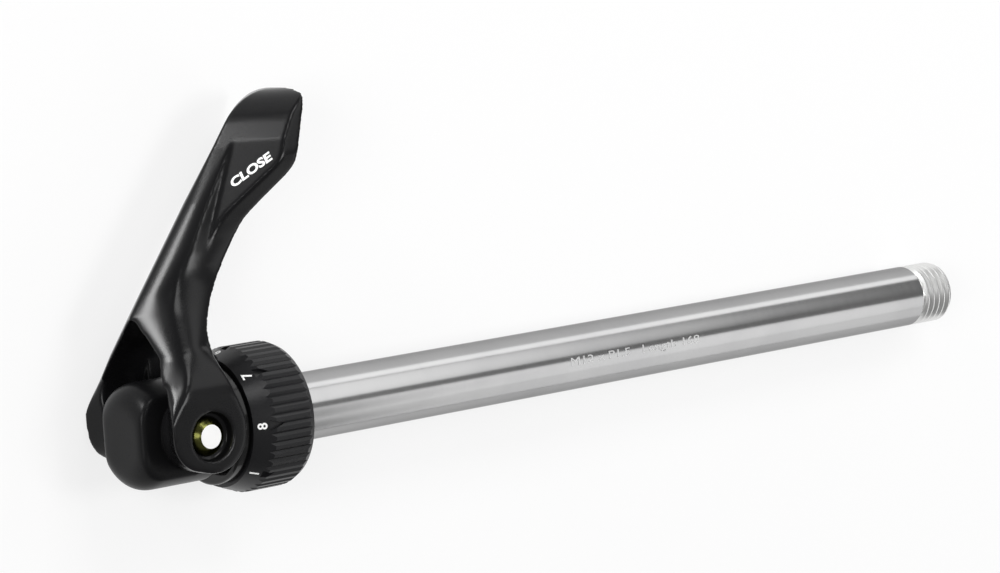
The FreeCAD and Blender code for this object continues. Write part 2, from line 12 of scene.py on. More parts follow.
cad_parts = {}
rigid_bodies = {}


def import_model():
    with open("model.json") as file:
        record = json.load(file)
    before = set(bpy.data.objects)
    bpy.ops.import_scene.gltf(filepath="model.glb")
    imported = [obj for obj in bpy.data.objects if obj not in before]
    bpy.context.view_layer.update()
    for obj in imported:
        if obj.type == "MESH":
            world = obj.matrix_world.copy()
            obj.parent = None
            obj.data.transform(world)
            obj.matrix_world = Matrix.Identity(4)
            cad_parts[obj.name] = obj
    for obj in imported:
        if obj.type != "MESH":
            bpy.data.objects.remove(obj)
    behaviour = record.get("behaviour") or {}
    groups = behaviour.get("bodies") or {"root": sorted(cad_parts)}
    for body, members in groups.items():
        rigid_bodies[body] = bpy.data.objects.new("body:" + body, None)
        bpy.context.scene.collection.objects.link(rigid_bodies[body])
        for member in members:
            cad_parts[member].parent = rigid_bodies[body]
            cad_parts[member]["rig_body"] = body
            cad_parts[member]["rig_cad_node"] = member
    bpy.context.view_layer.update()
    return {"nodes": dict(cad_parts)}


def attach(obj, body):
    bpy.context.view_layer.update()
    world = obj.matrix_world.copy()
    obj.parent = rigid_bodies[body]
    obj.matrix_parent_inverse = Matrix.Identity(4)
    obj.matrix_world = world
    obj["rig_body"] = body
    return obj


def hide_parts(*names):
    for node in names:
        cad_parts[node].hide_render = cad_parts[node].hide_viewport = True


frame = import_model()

logging.basicConfig(level=logging.INFO, format="%(message)s")
LOG = logging.getLogger("thru_axle")

Pair = tuple[float, float]
Triple = tuple[float, float, float]
Profile = tuple[Pair, ...]
FaceTest = Callable[[Vector, Vector], bool]
Weight = Callable[[Vector, Vector], float]
Value = Union[float, bpy.types.NodeSocket]

# A millimetre in metres, and the pin's place along the axle in millimetres
MM = 0.001
PIN_X = -22.0

# Angles up to which turned, copied and lettered faces are shaded smooth
TURNED_SHARP_DEG = 35.0
COPY_SHARP_DEG = 30.0
LETTER_SHARP_DEG = 20.0

# Distances in millimetres under which vertices merge
MERGE_MM = 0.001
LETTER_MERGE_MM = 0.0002

# Half the thickness of lettering, the steps of its curves and the share of its size that capitals take
LETTER_HALF_MM = 0.03
LETTER_STEPS = 4
CAPITAL_SHARE = 0.69

# Share of the way to its neighbours that a vertex moves in a round of smoothing
SMOOTH_FACTOR = 0.5

# Fine and broad noise of every finish, the fine one's share, and the ranges that set colour and gloss
FINE_OCTAVES = 3.0
BROAD_OCTAVES = 2.0
BROAD_SCALE = 90.0
FINE_SHARE = 0.6
COLOUR_RANGE = (0.45, 0.88)
GLOSS_RANGE = (0.25, 0.75)


class Body(str, Enum):
    """Moving bodies that the pieces made here ride on."""

    AXLE = "axle"
    LEVER = "lever"
    DIAL = "dial"


class Grain(Enum):
    """How a finish breaks up its surface, as the stretch of its noise along X, Y and Z."""

    EVEN = (1.0, 1.0, 1.0)
    TURNED = (1.0, 0.03, 0.03)
    DRAWN = (0.04, 1.0, 1.0)


def combine(tree: bpy.types.NodeTree, operation: str, *values: Value) -> bpy.types.NodeSocket:
    """Adds a math node.

    Args:
        tree: Node tree of the material.
        operation: What the node works out.
        *values: Its inputs in order, as numbers or as outputs of other nodes.

    Returns:
        The node's result.
    """
    node = tree.nodes.new("ShaderNodeMath")
    node.operation = operation
    for socket, value in zip(node.inputs, values):
        if isinstance(value, float):
            socket.default_value = value
        else:
            tree.links.new(value, socket)
    return node.outputs[0]


def add_noise(tree: bpy.types.NodeTree, vector: bpy.types.NodeSocket, scale: float,
              octaves: float) -> bpy.types.NodeSocket:
    """Adds a noise texture.

    Args:
        tree: Node tree of the material.
        vector: Coordinates to read.
        scale: Scale of the noise.
        octaves: Octaves of the noise.

    Returns:
        The noise's value.
    """
    texture = tree.nodes.new("ShaderNodeTexNoise")
    texture.inputs["Scale"].default_value = scale
    texture.inputs["Detail"].default_value = octaves
    tree.links.new(vector, texture.inputs["Vector"])
    return texture.outputs["Fac"]


@dataclass(frozen=True)
class Finish:
    """A surface: colour, gloss and the fine grain that varies both.

    Args:
        name: Name of the material.
        colour: Base colour.
        worn: Colour of the grain's other extreme.
        metallic: 1 for bare metal, 0 for a coating.
        roughness: Lowest and highest roughness over the grain.
        grain: Direction of the grain.
        grain_mm: Size of the grain in millimetres.
        bump: Height of the grain's relief in millimetres.
        specular: Strength of a coating's reflection, 0.5 for common plastic.
        edge: Share of light that bare metal mirrors at a grazing angle.
    """

    name: str
    colour: Triple
    worn: Triple
    metallic: float = 0.0
    roughness: Pair = (0.3, 0.4)
    grain: Grain = Grain.EVEN
    grain_mm: float = 0.3
    bump: float = 0.01
    specular: float = 0.5
    edge: float = 1.0

    def material(self) -> bpy.types.Material:
        """Builds the node material once and gives it back on later calls.

        Returns:
            The material of this finish.
        """
        made = bpy.data.materials.get(self.name)
        if made:
            return made
        made = bpy.data.materials.new(self.name)
        made.use_nodes = True
        tree = made.node_tree
        nodes, links = tree.nodes, tree.links
        shader = nodes["Principled BSDF"]
        shader.inputs["Metallic"].default_value = self.metallic
        shader.inputs["Specular IOR Level"].default_value = self.specular
        shader.inputs["Specular Tint"].default_value = (self.edge, self.edge, self.edge, 1.0)
        place = nodes.new("ShaderNodeTexCoord")
        stretch = nodes.new("ShaderNodeMapping")
        cell = self.grain_mm * MM
        stretch.inputs["Scale"].default_value = [part / cell for part in self.grain.value]
        links.new(place.outputs["Object"], stretch.inputs["Vector"])
        fine = add_noise(tree, stretch.outputs["Vector"], 1.0, FINE_OCTAVES)
        broad = add_noise(tree, place.outputs["Object"], BROAD_SCALE, BROAD_OCTAVES)
        ramp = nodes.new("ShaderNodeValToRGB")
        stops = ramp.color_ramp.elements
        for stop, position, colour in zip(stops, COLOUR_RANGE, (self.colour, self.worn)):
            stop.position = position
            stop.color = (*colour, 1.0)
        links.new(combine(tree, "MULTIPLY_ADD", fine, FINE_SHARE, broad), ramp.inputs["Fac"])
        links.new(ramp.outputs["Color"], shader.inputs["Base Color"])
        gloss = nodes.new("ShaderNodeMapRange")
        gloss.inputs["From Min"].default_value, gloss.inputs["From Max"].default_value = GLOSS_RANGE
        gloss.inputs["To Min"].default_value, gloss.inputs["To Max"].default_value = self.roughness
        links.new(fine, gloss.inputs["Value"])
        links.new(gloss.outputs["Result"], shader.inputs["Roughness"])
        relief = nodes.new("ShaderNodeBump")
        relief.inputs["Strength"].default_value = 1.0
        relief.inputs["Distance"].default_value = self.bump * MM
        links.new(fine, relief.inputs["Height"])
        links.new(relief.outputs["Normal"], shader.inputs["Normal"])
        return made

    def dress(self, piece: bpy.types.Object) -> None:
        """Gives a whole piece this finish.

        Args:
            piece: Piece to dress.
        """
        piece.data.materials.clear()
        piece.data.materials.append(self.material())


SATIN_ALLOY = Finish("shank_satin", (0.38, 0.38, 0.383), (0.42, 0.42, 0.42), metallic=1.0,
                     roughness=(0.15, 0.2), grain=Grain.TURNED, grain_mm=0.12, bump=0.0006, edge=0.55)
BARE_ALLOY = Finish("bare_alloy", (0.66, 0.66, 0.66), (0.8, 0.8, 0.79), metallic=1.0,
                    roughness=(0.28, 0.4), grain=Grain.TURNED, grain_mm=0.1, bump=0.003)
LEVER_BLACK = Finish("lever_black", (0.004, 0.004, 0.0045), (0.007, 0.007, 0.0075),
                     roughness=(0.19, 0.23), grain_mm=0.18, bump=0.0005, specular=0.2)
HEAD_BLACK = Finish("head_black", (0.003, 0.003, 0.0035), (0.008, 0.008, 0.0085),
                    roughness=(0.27, 0.37), grain_mm=0.3, bump=0.008, specular=0.12)
PAD_BLACK = Finish("pad_black", (0.003, 0.003, 0.003), (0.005, 0.005, 0.005),
                   roughness=(0.1, 0.16), grain_mm=0.4, bump=0.001, specular=0.3)
DIAL_BLACK = Finish("dial_black", (0.005, 0.005, 0.006), (0.011, 0.011, 0.012),
                    roughness=(0.26, 0.36), grain_mm=0.12, bump=0.003, specular=0.26)
YELLOW_ZINC = Finish("pin_zinc", (0.055, 0.06, 0.014), (0.12, 0.12, 0.035), metallic=1.0,
                     roughness=(0.16, 0.28), grain_mm=0.5, bump=0.003, edge=0.3)
# Pin ends: a near-white non-metal colour, a painted highlight in place of the light that their bare
# metal mirrors
PAINTED_HIGHLIGHT_END = Finish("pin_end_painted_highlight", (0.9, 0.9, 0.89), (0.94, 0.94, 0.93),
                    roughness=(0.38, 0.5), grain_mm=0.3, bump=0.002)
SPRING_STEEL = Finish("oiled_steel", (0.4, 0.4, 0.41), (0.5, 0.5, 0.5), metallic=1.0,
                      roughness=(0.25, 0.35), grain=Grain.DRAWN, grain_mm=0.1, bump=0.002)
WHITE_PRINT = Finish("white_print", (0.92, 0.92, 0.91), (0.98, 0.98, 0.97),
                     roughness=(0.4, 0.5), grain_mm=0.1, bump=0.003)
ETCHED = Finish("etched_mark", (0.55, 0.55, 0.555), (0.66, 0.66, 0.66), metallic=0.8,
                roughness=(0.4, 0.52), grain_mm=0.05, bump=0.002)


def deselect() -> None:
    """Leaves nothing selected."""
    bpy.ops.object.select_all(action="DESELECT")


def activate(piece: bpy.types.Object) -> None:
    """Selects one piece alone.

    Args:
        piece: Piece to select.
    """
    deselect()
    piece.select_set(True)
    bpy.context.view_layer.objects.active = piece


def apply_modifier(piece: bpy.types.Object, kind: str, **settings: object) -> None:
    """Adds a modifier and applies it.

    Args:
        piece: Piece to change.
        kind: Type of modifier.
        **settings: Properties of the modifier.
    """
    activate(piece)
    modifier = piece.modifiers.new(kind.lower(), kind)
    for key, value in settings.items():
        setattr(modifier, key, value)
    bpy.ops.object.modifier_apply(modifier=modifier.name)


def freeze(piece: bpy.types.Object) -> None:
    """Moves a piece's place into its mesh.

    Args:
        piece: Piece to freeze.
    """
    activate(piece)
    bpy.ops.object.transform_apply(location=True, rotation=True, scale=True)


def tidy_mesh(piece: bpy.types.Object, angle_deg: float, merge_mm: float = MERGE_MM) -> None:
    """Merges doubles, turns faces outwards and shades smooth up to an angle.

    Args:
        piece: Piece to tidy.
        angle_deg: Sharpest angle that is shaded smooth.
        merge_mm: Distance under which vertices merge.
    """
    activate(piece)
    bpy.ops.object.mode_set(mode="EDIT")
    bpy.ops.mesh.select_all(action="SELECT")
    bpy.ops.mesh.remove_doubles(threshold=merge_mm * MM)
    bpy.ops.mesh.normals_make_consistent(inside=False)
    bpy.ops.object.mode_set(mode="OBJECT")
    bpy.ops.object.shade_smooth_by_angle(angle=math.radians(angle_deg))


def lathe(name: str, profile: Profile, segments: int) -> bpy.types.Object:
    """Turns a closed body about the axle's axis by extruding a disc from point to point.

    Args:
        name: Name of the piece.
        profile: Places along X and radii, in millimetres.
        segments: Sides of the disc.

    Returns:
        The turned piece.
    """
    deselect()
    first_x, first_r = profile[0]
    bpy.ops.mesh.primitive_circle_add(vertices=segments, radius=first_r * MM, fill_type="NOTHING",
                                      location=(first_x * MM, 0, 0), rotation=(0, math.pi / 2, 0))
    piece = bpy.context.object
    piece.name = name
    freeze(piece)
    bpy.ops.object.mode_set(mode="EDIT")
    bpy.ops.mesh.select_all(action="SELECT")
    bpy.ops.mesh.edge_face_add()
    bpy.ops.mesh.select_all(action="SELECT")
    for (last_x, last_r), (x, r) in zip(profile, profile[1:]):
        bpy.ops.mesh.extrude_region_move(TRANSFORM_OT_translate={"value": ((x - last_x) * MM, 0, 0)})
        bpy.ops.transform.resize(value=(1, r / last_r, r / last_r), center_override=(x * MM, 0, 0))
    bpy.ops.object.mode_set(mode="OBJECT")
    tidy_mesh(piece, TURNED_SHARP_DEG)
    return piece


def cut(piece: bpy.types.Object, cutter: bpy.types.Object) -> None:
    """Cuts one closed shape out of another and removes the cutter.

    Args:
        piece: Piece to cut.
        cutter: Shape to take away.
    """
    apply_modifier(piece, "BOOLEAN", operation="DIFFERENCE", solver="EXACT", object=cutter)
    bpy.data.objects.remove(cutter, do_unlink=True)


def copy_node(node: str, name: str) -> bpy.types.Object:
    """Copies a CAD node's shape into a piece of its own.

    Args:
        node: CAD node to copy.
        name: Name of the copy.

    Returns:
        The copy, with its doubles merged.
    """
    activate(frame["nodes"][node])
    bpy.ops.object.duplicate()
    piece = bpy.context.object
    piece.parent = None
    piece.name = name
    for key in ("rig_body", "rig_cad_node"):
        if key in piece:
            del piece[key]
    tidy_mesh(piece, COPY_SHARP_DEG)
    return piece


def soften(piece: bpy.types.Object, rounds: int, group: str = "") -> None:
    """Smooths a piece.

    Args:
        piece: Piece to smooth.
        rounds: How often each vertex moves towards its neighbours.
        group: Vertex group to keep to, or nothing for the whole piece.
    """
    apply_modifier(piece, "SMOOTH", factor=SMOOTH_FACTOR, iterations=rounds, vertex_group=group)


def recast(node: str, name: str, voxel_mm: float, rounds: int) -> bpy.types.Object:
    """Copies a CAD node, rebuilds it from even cells and breaks its edges.

    Args:
        node: CAD node to copy.
        name: Name of the piece.
        voxel_mm: Size of the cells in millimetres.
        rounds: Rounds of smoothing.

    Returns:
        The piece with an even mesh.
    """
    piece = copy_node(node, name)
    apply_modifier(piece, "REMESH", mode="VOXEL", voxel_size=voxel_mm * MM, adaptivity=0.0)
    soften(piece, rounds)
    return piece


def shade_soft(piece: bpy.types.Object) -> None:
    """Drops a piece's vertex groups and shades all of it smooth.

    Args:
        piece: Piece whose shape is finished.
    """
    piece.vertex_groups.clear()
    activate(piece)
    bpy.ops.object.shade_smooth()


def write_words(name: str, words: str, place: Matrix, height_mm: float,
                length_mm: Optional[float] = None, bold_mm: float = 0.0,
                slant: float = 0.0) -> bpy.types.Object:
    """Makes thin raised lettering.

    Args:
        name: Name of the piece.
        words: What it says.
        place: Where its middle goes, with right, up and outward as axes, in metres.
        height_mm: Height of the capitals.
        length_mm: Length of the line, or None for the font's own.
        bold_mm: How much the strokes are fattened on each side.
        slant: Slant of the letters.

    Returns:
        The lettering as a mesh.
    """
    deselect()
    bpy.ops.object.text_add()
    piece = bpy.context.object
    piece.name = name
    letters = piece.data
    letters.body = words
    letters.size = height_mm * MM / CAPITAL_SHARE
    letters.extrude = LETTER_HALF_MM * MM
    letters.offset = bold_mm * MM
    letters.shear = slant
    letters.resolution_u = LETTER_STEPS
    letters.align_x = "CENTER"
    letters.align_y = "CENTER"
    bpy.context.view_layer.update()
    if length_mm:
        piece.scale.x = length_mm * MM / piece.dimensions.x
    bpy.ops.object.convert(target="MESH")
    piece = bpy.context.object
    freeze(piece)
    piece.matrix_world = place
    freeze(piece)
    tidy_mesh(piece, LETTER_SHARP_DEG, LETTER_MERGE_MM)
    return piece


def settle(piece: bpy.types.Object, body: Body, slot: str, finish: Finish, *nodes: str) -> None:
    """Dresses a finished piece and hands it to the frame.

    Args:
        piece: The finished piece.
        body: Body that it moves with.
        slot: Material slot of the record, not used.
        finish: Its finish.
        *nodes: CAD nodes that it stands for.
    """
    finish.dress(piece)
    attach(piece, body.value)
    if nodes:
        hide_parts(*nodes)
    LOG.info("%s: %d faces on %s", piece.name, len(piece.data.polygons), body.value)


def dress_faces(piece: bpy.types.Object, finish: Finish, chosen: FaceTest) -> None:
    """Gives some faces of a dressed piece another finish.

    Args:
        piece: Piece that has its main finish.
        finish: Finish of the chosen faces.
        chosen: Test of a face's middle and normal.
    """
    piece.data.materials.append(finish.material())
    index = len(piece.data.materials) - 1
    for face in piece.data.polygons:
        if chosen(face.center, face.normal):
            face.material_index = index


def weigh(piece: bpy.types.Object, name: str, weight: Weight) -> str:
    """Makes a vertex group whose weights follow place and normal.

    Args:
        piece: Piece that gets the group.
        name: Name of the group.
        weight: Weight for a vertex's place and normal, from 0 to 1.

    Returns:
        The group's name.
    """
    group = piece.vertex_groups.new(name=name)
    for vertex in piece.data.vertices:
        amount = weight(vertex.co, vertex.normal)
        if amount > 0.0:
            group.add([vertex.index], min(amount, 1.0), "REPLACE")
    return group.name


def along(stations: Profile, at: float) -> float:
    """Reads a value between stations, held level beyond the ends.

    Args:
        stations: Places and values, in rising order of place.
        at: Place to read.

    Returns:
        The value there.
    """
    if at <= stations[0][0]:
        return stations[0][1]
    for (low, first), (high, last) in zip(stations, stations[1:]):
        if at <= high:
            return first + (last - first) * (at - low) / (high - low)
    return stations[-1][1]


def crown(share: float) -> float:
    """Gives a hump that is 1 halfway and 0 at both ends.

    Args:
        share: Share of the way across.

    Returns:
        The hump's height there.
    """
    return max(0.0, 4.0 * share * (1.0 - share))


def facing(middle: Vector, right: Vector, outward: Vector) -> Matrix:
    """Gives the place of flat lettering.

    Args:
        middle: Middle of the line, in metres.
        right: Reading direction, which need not be square to outward.
        outward: Direction that the letters face.

    Returns:
        The placing matrix.
    """
    out = outward.normalized()
    reading = (right - out * right.dot(out)).normalized()
    up = out.cross(reading)
    turn = Matrix((reading, up, out)).transposed().to_4x4()
    return Matrix.Translation(middle) @ turn


@dataclass
class Shank:
    """Turned axle with a cut thread and a faint size mark. Sizes in millimetres.

    The three relief sizes are distances before the thread: its start, and both ends of its floor.
    """

    radius: float = 6.0
    journal_r: float = 5.7
    spigot_r: float = 4.8
    ring_groove_r: float = 5.0
    bore_r: float = 3.5
    spigot_start: float = -28.2
    journal_start: float = -16.9
    ring_groove: Pair = (-5.85, -4.75)
    bore_end: float = 4.0
    length: float = 168.0
    tip_chamfer: float = 0.9
    bore_chamfer: float = 0.3
    relief: Triple = (1.5, 1.1, 0.4)
    relief_depth: float = 0.8
    thread_start: float = 160.6
    thread_depth: float = 0.86
    pitch: float = 1.5
    groove_lead: float = 1.2
    groove_over: float = 0.04
    groove_root: float = 0.26
    groove_mouth: float = 1.32
    groove_turns: int = 7
    groove_steps: int = 64
    bare_before: float = 1.45
    pin_hole_r: float = 3.25
    pin_hole_length: float = 30.0
    pin_hole_segments: int = 64
    segments: int = 128
    mark: str = "M12 x P1.5   Length 168"
    mark_x: float = 80.5
    mark_angle_deg: float = 0.8
    mark_height: float = 1.5
    mark_length: float = 32.5

    def profile(self) -> Profile:
        """Gives the turned outline from the spigot round the tip into the bore.

        Returns:
            Places along X and radii.
        """
        groove_start, groove_end = self.ring_groove
        relief_start, floor_start, floor_end = (self.thread_start - before for before in self.relief)
        floor_r = self.radius - self.relief_depth
        return ((self.spigot_start, self.spigot_r), (self.journal_start, self.spigot_r),
                (self.journal_start, self.journal_r), (groove_start, self.journal_r),
                (groove_start, self.ring_groove_r), (groove_end, self.ring_groove_r),
                (groove_end, self.journal_r), (0.0, self.journal_r), (0.0, self.radius),
                (relief_start, self.radius), (floor_start, floor_r), (floor_end, floor_r),
                (self.thread_start, self.radius), (self.length - self.tip_chamfer, self.radius),
                (self.length, self.radius - self.tip_chamfer),
                (self.length, self.bore_r + self.bore_chamfer),
                (self.length - self.bore_chamfer, self.bore_r), (self.bore_end, self.bore_r))

    def thread_groove(self) -> bpy.types.Object:
        """Models the groove's section, with one square flank, and screws it along the tip as a cutter.

        Returns:
            The closed helical cutter.
        """
        root, mouth = self.radius - self.thread_depth, self.radius + self.groove_over
        middle = (root + mouth) / 2 * MM
        deselect()
        bpy.ops.mesh.primitive_plane_add(size=1.0, rotation=(math.pi / 2, 0, 0))
        cutter = bpy.context.object
        cutter.name = "thread_cutter"
        cutter.scale = (self.groove_root * MM, (mouth - root) * MM, 1)
        cutter.location = ((self.thread_start - self.groove_lead) * MM, 0, middle)
        freeze(cutter)
        bpy.ops.object.mode_set(mode="EDIT")
        bpy.ops.mesh.select_all(action="SELECT")
        bpy.ops.mesh.delete(type="ONLY_FACE")
        bpy.ops.object.mode_set(mode="OBJECT")
        corners = cutter.data.vertices
        for corner in corners:
            corner.select = corner.co.z > middle
        for edge in cutter.data.edges:
            edge.select = all(corners[end].co.z > middle for end in edge.vertices)
        first, widening = tuple(corners[0].co), self.groove_mouth / self.groove_root
        bpy.ops.object.mode_set(mode="EDIT")
        bpy.ops.transform.resize(value=(widening, 1, 1), center_override=first)
        bpy.ops.object.mode_set(mode="OBJECT")
        apply_modifier(cutter, "SCREW", axis="X", angle=2 * math.pi, screw_offset=self.pitch * MM,
                       iterations=self.groove_turns, steps=self.groove_steps,
                       render_steps=self.groove_steps, use_merge_vertices=False)
        activate(cutter)
        bpy.ops.object.mode_set(mode="EDIT")
        bpy.ops.mesh.select_all(action="SELECT")
        bpy.ops.mesh.fill_holes(sides=0)
        bpy.ops.mesh.normals_make_consistent(inside=False)
        bpy.ops.object.mode_set(mode="OBJECT")
        return cutter

    def turn(self) -> None:
        """Turns the shank, cuts its hole and thread, and leaves the thread bare."""
        piece = lathe("shank_turned", self.profile(), self.segments)
        deselect()
        bpy.ops.mesh.primitive_cylinder_add(vertices=self.pin_hole_segments, radius=self.pin_hole_r * MM,
                                            depth=self.pin_hole_length * MM, location=(PIN_X * MM, 0, 0))
        cut(piece, bpy.context.object)
        cut(piece, self.thread_groove())
        tidy_mesh(piece, TURNED_SHARP_DEG)
        settle(piece, Body.AXLE, "satin_alloy", SATIN_ALLOY, "axle_tube")
        bare_from = (self.thread_start - self.bare_before) * MM
        dress_faces(piece, BARE_ALLOY, lambda middle, normal: middle.x > bare_from)

    def etch_mark(self) -> None:
        """Marks the shank's size along its upper side."""
        angle = math.radians(self.mark_angle_deg)
        outward = Vector((0, math.sin(angle), math.cos(angle)))
        middle = Vector((self.mark_x * MM, 0, 0)) + outward * self.radius * MM
        place = facing(middle, Vector((1, 0, 0)), outward)
        piece = write_words("size_mark", self.mark, place, self.mark_height, self.mark_length)
        settle(piece, Body.AXLE, "satin_alloy", ETCHED)

    def build(self) -> None:
        """Builds the shank's pieces."""
        self.turn()
        self.etch_mark()


@dataclass
class Lever:
    """Forked cam lever with its printed word and its pin. Sizes in millimetres, X from the pin.

    The profiles are read along Y: half-widths, the back's X, and how far each change of form reaches.
    """

    voxel: float = 0.24
    first_smoothing: int = 7
    ear_smoothing: int = 24
    crease_smoothing: int = 30
    window_smoothing: int = 80
    last_smoothing: int = 6
    word: str = "CLOSE"
    word_height: float = 1.5
    word_length: float = 8.5
    word_bold: float = 0.08
    word_slant: float = 0.12
    word_start: Pair = (40.68, 4.27)
    word_end: Pair = (45.27, 8.59)
    flat_x: float = 12.73
    flat_y: float = 45.0
    flat_lean: float = 0.535
    flank_lean: float = 0.79
    ridge_set: float = 20.95
    ridge_lean: float = 0.735
    flank_bulge: float = 0.28
    flank_depth: float = 0.4
    flank_facing: float = -0.3
    flank_least: float = 0.1
    side_bulge: float = 0.4
    side_depth: float = 0.5
    side_facing: float = 0.8
    ear_from_z: float = 10.2
    ear_to_y: float = 14.0
    ear_mouth_r: float = 5.2
    crease_half: float = 1.7
    crease_depth: float = 2.4
    window_half: float = 2.4
    window_depth: float = 3.5
    pin_half: float = 12.6
    pin_bevel: float = 0.12
    pin_bevel_steps: int = 3
    pin_bevel_deg: float = 25.0
    pin_end_depth: float = 0.1
    pin_end_facing: float = 0.95
    outer: Profile = ((9.2, 13.2), (23.8, 4.05), (30.0, 4.05), (48.0, 2.4))
    inner: Profile = ((7.6, 9.6), (13.6, 6.9), (20.4, 0.0))
    back: Profile = ((2.3, 7.3), (14.9, 2.4), (34.8, 16.1), (42.4, 23.4))
    flank_reach: Profile = ((9.0, 0.0), (13.0, 1.0), (38.0, 1.0), (47.0, 0.0))
    side_reach: Profile = ((10.0, 0.0), (14.0, 1.0), (28.0, 1.0), (35.0, 0.0))
    crease_reach: Profile = ((15.0, 0.0), (20.0, 1.0), (28.0, 1.0), (33.0, 0.0))
    window_reach: Profile = ((4.0, 0.0), (6.5, 1.0), (9.6, 1.0), (11.4, 0.0))

    def flat_point(self, y: float, z: float) -> Vector:
        """Finds a point of the near paddle flat.

        Args:
            y: Its Y in millimetres.
            z: Its Z in millimetres.

        Returns:
            The point in metres.
        """
        x = PIN_X + self.flat_x + self.flat_lean * (y - self.flat_y) + self.flank_lean * z
        return Vector((x * MM, y * MM, z * MM))

    def local(self, place: Vector) -> Triple:
        """Reads a vertex's place.

        Args:
            place: Place in metres.

        Returns:
            X from the pin, Y, and the distance from the middle plane, in millimetres.
        """
        return place.x / MM - PIN_X, place.y / MM, abs(place.z / MM)

    def front(self, y: float, z: float) -> float:
        """Finds the front flank's plane.

        Args:
            y: Y in millimetres.
            z: Distance from the middle plane in millimetres.

        Returns:
            The plane's X there.
        """
        return -self.ridge_set + self.ridge_lean * y + self.flank_lean * z

    def flank_weight(self, place: Vector, normal: Vector) -> float:
        """Says how far a front flank swells, from its ridge or window edge to its crease.

        Args:
            place: Vertex's place in metres.
            normal: Vertex's normal.

        Returns:
            The weight, from 0 to 1.
        """
        x, y, z = self.local(place)
        near, far = along(self.inner, y), along(self.outer, y)
        off_plane = abs(x - self.front(y, z)) > self.flank_depth
        if off_plane or normal.x > self.flank_facing or not near < z < far:
            return 0.0
        return crown((z - near) / max(far - near, self.flank_least)) * along(self.flank_reach, y)

    def side_weight(self, place: Vector, normal: Vector) -> float:
        """Says how far a side of the arm swells, from its crease to its back.

        Args:
            place: Vertex's place in metres.
            normal: Vertex's normal.

        Returns:
            The weight, from 0 to 1.
        """
        x, y, z = self.local(place)
        half, rear = along(self.outer, y), along(self.back, y)
        front = self.front(y, half)
        inward = z < half - self.side_depth
        if inward or abs(normal.z) < self.side_facing or not front < x < rear:
            return 0.0
        return crown((x - front) / (rear - front)) * along(self.side_reach, y)

    def ear_weight(self, place: Vector, normal: Vector) -> float:
        """Says where the ears' outer edges are rounded, clear of the pin's mouth.

        Args:
            place: Vertex's place in metres.
            normal: Vertex's normal, not used.

        Returns:
            The weight, from 0 to 1.
        """
        x, y, z = self.local(place)
        on_ear = z > self.ear_from_z and y < self.ear_to_y
        return 1.0 if on_ear and math.hypot(x, y) > self.ear_mouth_r else 0.0

    def crease_weight(self, place: Vector, normal: Vector) -> float:
        """Says where the crease between flank and side melts into the neck.

        Args:
            place: Vertex's place in metres.
            normal: Vertex's normal, not used.

        Returns:
            The weight, from 0 to 1.
        """
        x, y, z = self.local(place)
        half = along(self.outer, y)
        near = abs(z - half) < self.crease_half and abs(x - self.front(y, half)) < self.crease_depth
        return along(self.crease_reach, y) if near else 0.0

    def window_weight(self, place: Vector, normal: Vector) -> float:
        """Says where the window's front edge is rounded into the ears.

        Args:
            place: Vertex's place in metres.
            normal: Vertex's normal, not used.

        Returns:
            The weight, from 0 to 1.
        """
        x, y, z = self.local(place)
        depth = x - self.front(y, z)
        near = abs(z - along(self.inner, y)) < self.window_half and depth < self.window_depth
        return along(self.window_reach, y) if near else 0.0

    def casting(self) -> None:
        """Rounds the forged edges of the lever and crowns its flanks and sides."""
        piece = recast("cam_lever", "lever_casting", self.voxel, self.first_smoothing)
        flank = weigh(piece, "flank", self.flank_weight)
        side = weigh(piece, "side", self.side_weight)
        ears = weigh(piece, "ears", self.ear_weight)
        crease = weigh(piece, "crease", self.crease_weight)
        window = weigh(piece, "window", self.window_weight)
        for group, bulge in ((flank, self.flank_bulge), (side, self.side_bulge)):
            apply_modifier(piece, "DISPLACE", strength=bulge * MM, mid_level=0.0, vertex_group=group)
        soften(piece, self.ear_smoothing, ears)
        soften(piece, self.crease_smoothing, crease)
        soften(piece, self.window_smoothing, window)
        soften(piece, self.last_smoothing)
        shade_soft(piece)
        settle(piece, Body.LEVER, "black_lever", LEVER_BLACK, "cam_lever")

    def print_word(self) -> None:
        """Prints the closing word on the paddle's near flat."""
        start, end = self.flat_point(*self.word_start), self.flat_point(*self.word_end)
        outward = Vector((-1.0, self.flat_lean, self.flank_lean))
        place = facing((start + end) / 2, end - start, outward)
        piece = write_words("closing_word", self.word, place, self.word_height, self.word_length,
                            self.word_bold, self.word_slant)
        settle(piece, Body.LEVER, "black_lever", WHITE_PRINT)

    def pin(self) -> None:
        """Breaks the pin's edges and paints its flat ends near white, a painted highlight for the light
        that they mirror.
        """
        piece = copy_node("pivot_pin", "pin_turned")
        apply_modifier(piece, "BEVEL", width=self.pin_bevel * MM, segments=self.pin_bevel_steps,
                       limit_method="ANGLE", angle_limit=math.radians(self.pin_bevel_deg))
        tidy_mesh(piece, TURNED_SHARP_DEG)
        settle(piece, Body.LEVER, "yellow_zinc", YELLOW_ZINC, "pivot_pin")
        end, least = (self.pin_half - self.pin_end_depth) * MM, self.pin_end_facing
        # Painted highlight: the pin's flat end faces get a near-white colour for the light that they
        # mirror
        dress_faces(piece, PAINTED_HIGHLIGHT_END,
                    lambda middle, normal: abs(middle.z) > end and abs(normal.z) > least)

    def build(self) -> None:
        """Builds the lever's pieces."""
        self.casting()
        self.print_word()
        self.pin()


